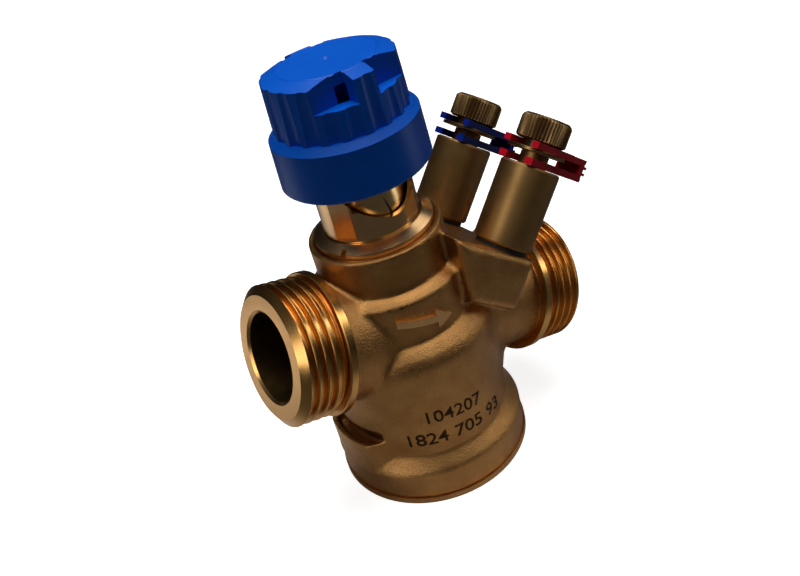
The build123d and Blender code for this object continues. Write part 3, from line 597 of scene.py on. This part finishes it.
def knob(name, side):
    """Cap of a test plug: wide disc, stalk and finely knurled head, as one closed turned shell."""
    steps = len(KNURL_WAVE)
    turns = KNURL_TEETH * steps
    angle = np.arange(turns) * 2 * np.pi / turns
    groove = KNURL_WAVE[np.arange(turns) % steps]
    place = plug_frame(side)
    rings, faces = [], []
    for i, (height, radius, share) in enumerate(KNOB_PROFILE):
        r = radius - KNURL_DEPTH * share * groove
        rings.append(place(np.stack([r * np.cos(angle), r * np.sin(angle), np.full(turns, height)], 1)))
        faces += band(i * turns, (i + 1) % len(KNOB_PROFILE) * turns, turns)
    body = "plug_cap_" + name
    points = np.concatenate(rings)
    obj = add_mesh(body + "_form", points, faces, materials["knob_brass"], True, body)
    crease = obj.modifiers.new("crease", "EDGE_SPLIT")
    crease.split_angle = KNOB_CREASE
    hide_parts(body)


def slab(outline, low, high):
    """Closed plate between two heights over an outline of (x, y)."""
    n = len(outline)
    points = [(x, y, low) for x, y in outline] + [(x, y, high) for x, y in outline]
    return points, [tuple(range(n))[::-1], tuple(range(n, 2 * n))] + band(0, n, n)


def fork(slot_r):
    """Outline of one forked leaf, open towards -x, with its shoulders and tongue."""
    grip = slot_r * GRIP_SHARE
    round_r = slot_r + SLOT_GAP
    start = math.pi - math.asin(grip / round_r)
    turn = np.linspace(start, -start, SLOT_STEPS)
    arc = [(round_r * math.cos(a), round_r * math.sin(a)) for a in turn]
    half, step = STRAP_HALF, STRAP_HALF - SHOULDER_STEP
    far = [
        (LEAF_BACK, half), (SHOULDER, half), (SHOULDER, step), (TONGUE_ROOT, step),
        (TONGUE_ROOT, TONGUE_HALF), (STRAP_END, TONGUE_HALF),
    ]
    near = [(x, -y) for x, y in far]
    return [(LEAF_BACK, grip)] + arc + [(LEAF_BACK, -grip)] + near + far[::-1]


def strap(name, side):
    """Folded strap: two forked leaves joined by a square, ribbed fold."""
    shells = [slab(fork(slot_r), low, high) for slot_r, low, high in (LOW_LEAF, HIGH_LEAF)]
    fold = [(STRAP_END, -TONGUE_HALF), (FOLD_END, -TONGUE_HALF)]
    fold += [(x, -y) for x, y in fold[::-1]]
    shells.append(slab(fold, LOW_LEAF[1], HIGH_LEAF[2]))
    for rib_low, proud in FOLD_RIBS:
        rib = [(x + proud if x > STRAP_END else x - RIB_SINK, y * RIB_SHARE) for x, y in fold]
        shells.append(slab(rib, rib_low, rib_low + RIB_HEIGHT))
    points, faces = [], []
    for shell_points, shell_faces in shells:
        faces += [tuple(i + len(points) for i in face) for face in shell_faces]
        points += shell_points
    body = "strap_" + name
    colour = "strap_red" if name == "front" else "strap_blue"
    obj = add_mesh(body + "_form", plug_frame(side)(points), faces, materials[colour], False, body)
    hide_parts(body)


def coil(node, wire_r, turns):
    """Coil spring in place of its node."""
    low, high = (np.array(corner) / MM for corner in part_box(node))
    steps, sides = int(COIL_STEPS * turns), COIL_SIDES
    along = np.linspace(0, 1, steps)
    turn = 2 * np.pi * turns * along
    around = np.linspace(0, 2 * np.pi, sides, endpoint=False)
    radius = high[0] - wire_r + wire_r * np.cos(around)[None, :]
    rise = low[2] + wire_r + (high[2] - low[2] - 2 * wire_r) * along
    z = rise[:, None] + wire_r * np.sin(around)[None, :]
    rings = [radius * np.cos(turn)[:, None], radius * np.sin(turn)[:, None], z]
    points = np.stack(rings, 2).reshape(-1, 3)
    faces = [tuple(range(sides)), tuple((steps - 1) * sides + k for k in range(sides))[::-1]]
    for start in range(0, (steps - 1) * sides, sides):
        for k in range(sides):
            m = (k + 1) % sides
            faces.append((start + k, start + sides + k, start + sides + m, start + m))
    obj = add_mesh(node + "_coil", points, faces, materials["spring_steel"])
    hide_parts(node)
    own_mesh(obj)


def digits(name, text, height, start, end, foot, slope):
    """Plain digits wrapped round the barrel between two angles, coloured dark as painted shade of their
    engraved grooves.
    """
    curve = bpy.data.curves.new(name, "FONT")
    curve.body = text
    curve.size = 1.0
    curve.extrude = 0.02
    curve.offset = 0.008
    source = bpy.data.objects.new(name + "_source", curve)
    bpy.context.scene.collection.objects.link(source)
    bpy.context.view_layer.update()
    shaped = source.evaluated_get(bpy.context.evaluated_depsgraph_get())
    mesh = bpy.data.meshes.new_from_object(shaped)
    flat = np.array([tuple(v.co) for v in mesh.vertices])
    faces = [tuple(p.vertices) for p in mesh.polygons]
    bpy.data.objects.remove(source)
    low, high = flat.min(0), flat.max(0)
    share = (flat[:, 0] - low[0]) / (high[0] - low[0])
    rise = (flat[:, 1] - low[1]) / (high[1] - low[1])
    angle = np.radians(start + (end - start) * share)
    z = foot + slope * share + height * rise
    wall = BARREL_R + (BARREL_TOP_R - BARREL_R) * (z - TAPER_FOOT) / TAPER_HEIGHT
    radius = wall + np.where(flat[:, 2] > 0, DIGIT_PROUD, -DIGIT_SINK)
    points = np.stack([radius * np.cos(angle), radius * np.sin(angle), z], 1)
    add_mesh(name, points, faces, materials["engraving_painted_shade"], smooth=False)


def painted_floor_light(tree, place):
    """What the metal sees of the floor: a painted pool of light under the valve, two painted bright
    patches, a dim rest.
    """
    pool = tree.nodes.new("ShaderNodeVectorMath")
    pool.operation = "LENGTH"
    tree.links.new(place, pool.inputs[0])
    light = ramp(tree, pool.outputs["Value"], FLOOR_PAINTED_LIGHT_POOL)
    for centre, size, tone in FLOOR_PAINTED_LIGHT_PATCHES:
        away = tree.nodes.new("ShaderNodeVectorMath")
        away.operation = "DISTANCE"
        away.inputs[1].default_value = centre
        tree.links.new(place, away.inputs[0])
        painted_patch = ramp(tree, away.outputs["Value"], [(0.0, grey(tone)), (size, grey(0))])
        total = tree.nodes.new("ShaderNodeVectorMath")
        total.operation = "ADD"
        tree.links.new(light, total.inputs[0])
        tree.links.new(painted_patch, total.inputs[1])
        light = total.outputs["Vector"]
    return light


def paper_floor():
    """Floor that is pale for the camera and dimmer in the metal, where it shows a painted pool of light
    and painted bright patches.
    """
    mesh = bpy.data.meshes.new("floor")
    half = FLOOR_HALF
    corners = [(-half, -half, 0), (half, -half, 0), (half, half, 0), (-half, half, 0)]
    mesh.from_pydata(corners, [], [(0, 1, 2, 3)])
    floor = bpy.data.objects.new("floor", mesh)
    bpy.context.scene.collection.objects.link(floor)
    mat, tree, shader, coords = new_material("floor paper")
    place = coords.outputs["Object"]
    paper = noise(tree, place, scale=30, detail=2)
    tint(tree, shader, paper, [(0.3, grey(0.80)), (0.7, grey(0.84))])
    shader.inputs["Roughness"].default_value = 0.9
    shader.inputs["Emission Color"].default_value = (1, 1, 1, 1)
    path = tree.nodes.new("ShaderNodeLightPath")
    glow = tree.nodes.new("ShaderNodeMath")
    glow.operation = "MULTIPLY"
    glow.inputs[1].default_value = FLOOR_GLOW
    tree.links.new(path.outputs["Is Camera Ray"], glow.inputs[0])
    tree.links.new(glow.outputs[0], shader.inputs["Emission Strength"])
    dark = tree.nodes.new("ShaderNodeBsdfDiffuse")
    # The floor in the metal takes its colour from the painted pool of light and the painted bright patches
    tree.links.new(painted_floor_light(tree, place), dark.inputs["Color"])
    mix = tree.nodes.new("ShaderNodeMixShader")
    out = next(n for n in tree.nodes if n.type == "OUTPUT_MATERIAL")
    tree.links.new(path.outputs["Is Camera Ray"], mix.inputs["Fac"])
    tree.links.new(dark.outputs["BSDF"], mix.inputs[1])
    tree.links.new(shader.outputs["BSDF"], mix.inputs[2])
    tree.links.new(mix.outputs[0], out.inputs["Surface"])
    mesh.materials.append(mat)


def studio_world():
    """World that is white to the camera and a soft grey room to everything else."""
    world = bpy.data.worlds.new("studio")
    bpy.context.scene.world = world
    world.use_nodes = True
    sky = world.node_tree
    sky.nodes.clear()
    out = sky.nodes.new("ShaderNodeOutputWorld")
    mix = sky.nodes.new("ShaderNodeMixShader")
    path = sky.nodes.new("ShaderNodeLightPath")
    room = sky.nodes.new("ShaderNodeBackground")
    white = sky.nodes.new("ShaderNodeBackground")
    coords = sky.nodes.new("ShaderNodeTexCoord")
    split = sky.nodes.new("ShaderNodeSeparateXYZ")
    sky.links.new(coords.outputs["Generated"], split.inputs[0])
    stops = [(0.0, grey(0.01)), (0.45, grey(0.02)), (0.75, grey(0.07)), (1.0, grey(0.5))]
    sky.links.new(ramp(sky, split.outputs["Z"], stops), room.inputs["Color"])
    white.inputs["Strength"].default_value = 1.0
    white.inputs["Color"].default_value = (1, 1, 1, 1)
    sky.links.new(path.outputs["Is Camera Ray"], mix.inputs["Fac"])
    sky.links.new(room.outputs[0], mix.inputs[1])
    sky.links.new(white.outputs[0], mix.inputs[2])
    sky.links.new(mix.outputs[0], out.inputs["Surface"])


def softbox(name, place, size, power, aim=VALVE_MIDDLE, diffuse=True):
    """Rectangular light that the camera doesn't see, aimed at a point, all in metres."""
    light = bpy.data.lights.new(name, "AREA")
    light.shape = "RECTANGLE"
    light.size = size[0]
    light.size_y = size[1]
    light.energy = power
    obj = bpy.data.objects.new(name, light)
    obj.location = place
    obj.visible_diffuse = diffuse
    obj.visible_camera = False
    obj.rotation_mode = "QUATERNION"
    obj.rotation_quaternion = (Vector(aim) - Vector(place)).to_track_quat("-Z", "Y")
    bpy.context.scene.collection.objects.link(obj)


def photo_camera():
    """Camera at the photo's place, rolled as the photo is."""
    azimuth, height, roll = (math.radians(a) for a in CAMERA_ANGLES)
    level = math.cos(height)
    back = Vector((math.sin(azimuth) * level, -math.cos(azimuth) * level, math.sin(height)))
    right = (-back).cross(Vector((0, 0, 1))).normalized()
    up = right.cross(-back)
    turned_right = math.cos(roll) * right + math.sin(roll) * up
    turned_up = -math.sin(roll) * right + math.cos(roll) * up
    pose = Matrix((turned_right, turned_up, back)).transposed().to_4x4()
    pose.translation = Vector(CAMERA_PLACE) * MM
    data = bpy.data.cameras.new("camera")
    data.sensor_width = CAMERA_SENSOR
    data.lens = CAMERA_LENS
    data.clip_start = CAMERA_CLIP
    camera = bpy.data.objects.new("camera", data)
    camera.matrix_world = pose
    bpy.context.scene.collection.objects.link(camera)
    return camera


materials = {
    "forged_brass": forged("forged brass", (0.40, 0.196, 0.062), (0.50, 0.257, 0.084), 0.33),
    "arrow_brass": forged("arrow brass", (0.80, 0.46, 0.18), (0.90, 0.54, 0.23), 0.34, grain=0.1),
    "cover_brass": turned("cover brass", (0.46, 0.24, 0.085), (0.55, 0.3, 0.11), 0.36),
    "turned_brass": turned("turned brass", (0.66, 0.40, 0.18), (0.75, 0.48, 0.23), 0.24),
    "port_brass": turned(
        "port brass", (0.60, 0.31, 0.09), (0.72, 0.39, 0.12), 0.24,
        turn=(0, PIPE_TURN, 0), marks_depth=0.002,
    ),
    # Dark brass for the port bores: painted shade inside the hollow
    "bore_painted_shade": forged("bore painted shade", (0.09, 0.055, 0.02), (0.13, 0.08, 0.03), 0.4, grain=0.03),
    # Near-black brass for the digits: painted shade of engraved grooves
    "engraving_painted_shade": forged("engraving_painted_shade", (0.035, 0.018, 0.007), (0.06, 0.032, 0.012), 0.6, grain=0.03),
    "plug_brass": turned(
        "plug brass", (0.26, 0.145, 0.048), (0.33, 0.19, 0.066), 0.44,
        turn=(0, PLUG_LEAN, 0), marks_depth=0.02,
    ),
    "knob_brass": turned(
        "knob brass", (0.21, 0.12, 0.045), (0.28, 0.165, 0.065), 0.3, turn=(0, PLUG_LEAN, 0),
    ),
    "scale_brass": turned("scale brass", (0.96, 0.60, 0.24), (1.0, 0.68, 0.30), 0.2),
    "stainless": turned("stainless", (0.50, 0.50, 0.48), (0.64, 0.63, 0.61), 0.24),
    "spring_steel": turned("spring steel", (0.40, 0.40, 0.40), (0.54, 0.53, 0.52), 0.28),
    "seal_rubber": plastic("seal rubber", (0.012, 0.012, 0.012), (0.03, 0.03, 0.03), 0.6),
    "pointer_black": plastic("pointer black", (0.004, 0.004, 0.004), (0.01, 0.01, 0.01), 0.5),
    "blue_plastic": plastic("blue plastic", (0.001, 0.11, 0.66), (0.0015, 0.125, 0.72), 0.34, shine=0.18),
    "strap_red": plastic("strap red", (0.56, 0.001, 0.012), (0.64, 0.002, 0.018), 0.4),
    "strap_blue": plastic("strap blue", (0.0, 0.012, 0.2), (0.001, 0.018, 0.27), 0.4),
}

slot_of = {row["node"]: row["material_slot"] for row in frame["record"]["subparts"]}
for name, obj in nodes.items():
    obj.data.materials.clear()
    obj.data.materials.append(materials[slot_of[name]])
nodes["bottom_cover"].data.materials[0] = materials["cover_brass"]

body_piece = forging()
port("inlet_port", INLET_REACH, -1)
port("outlet_port", OUTLET_REACH, 1)
flow_arrow()
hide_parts("body")
digits("number_row_high", "104207", height=3.6, start=-119.0, end=-79.5, foot=22.6, slope=-1.6)
digits("number_row_low", "1824 705 93", height=3.7, start=-134.5, end=-63.5, foot=16.2, slope=-1.6)
for plug_name, plug_side in (("front", -1), ("rear", 1)):
    knob(plug_name, plug_side)
    strap(plug_name, plug_side)
coil("regulator_spring", wire_r=0.9, turns=4.5)
coil("stem_spring", wire_r=0.45, turns=7.0)

paper_floor()
studio_world()
softbox("top box", place=(0.05, 0.05, 0.75), size=(0.5, 0.5), power=3.7)
softbox("left box", place=(-0.65, -0.15, 0.40), size=(0.2, 0.6), power=1.3, diffuse=False)
softbox("right box", place=(0.60, -0.45, 0.45), size=(0.16, 0.5), power=1.0, diffuse=False)
softbox("front card", place=(0.09, -0.40, 0.47), size=(0.46, 0.28), power=0.48, diffuse=False)
softbox("right high card", place=(0.42, 0.06, 0.46), size=(0.22, 0.22), power=0.2, diffuse=False)
softbox(
    "low card", place=(0.21, -0.11, 0.012), size=(0.08, 0.08), power=0.03,
    aim=(0.0, 0.0, 0.075), diffuse=False,
)
softbox(
    "left low card", place=(-0.105, 0.115, 0.01), size=(0.09, 0.09), power=0.008,
    aim=(-0.035, 0.0, 0.049), diffuse=False,
)
bpy.context.scene.camera = photo_camera()
bpy.context.scene.view_settings.view_transform = "Standard"
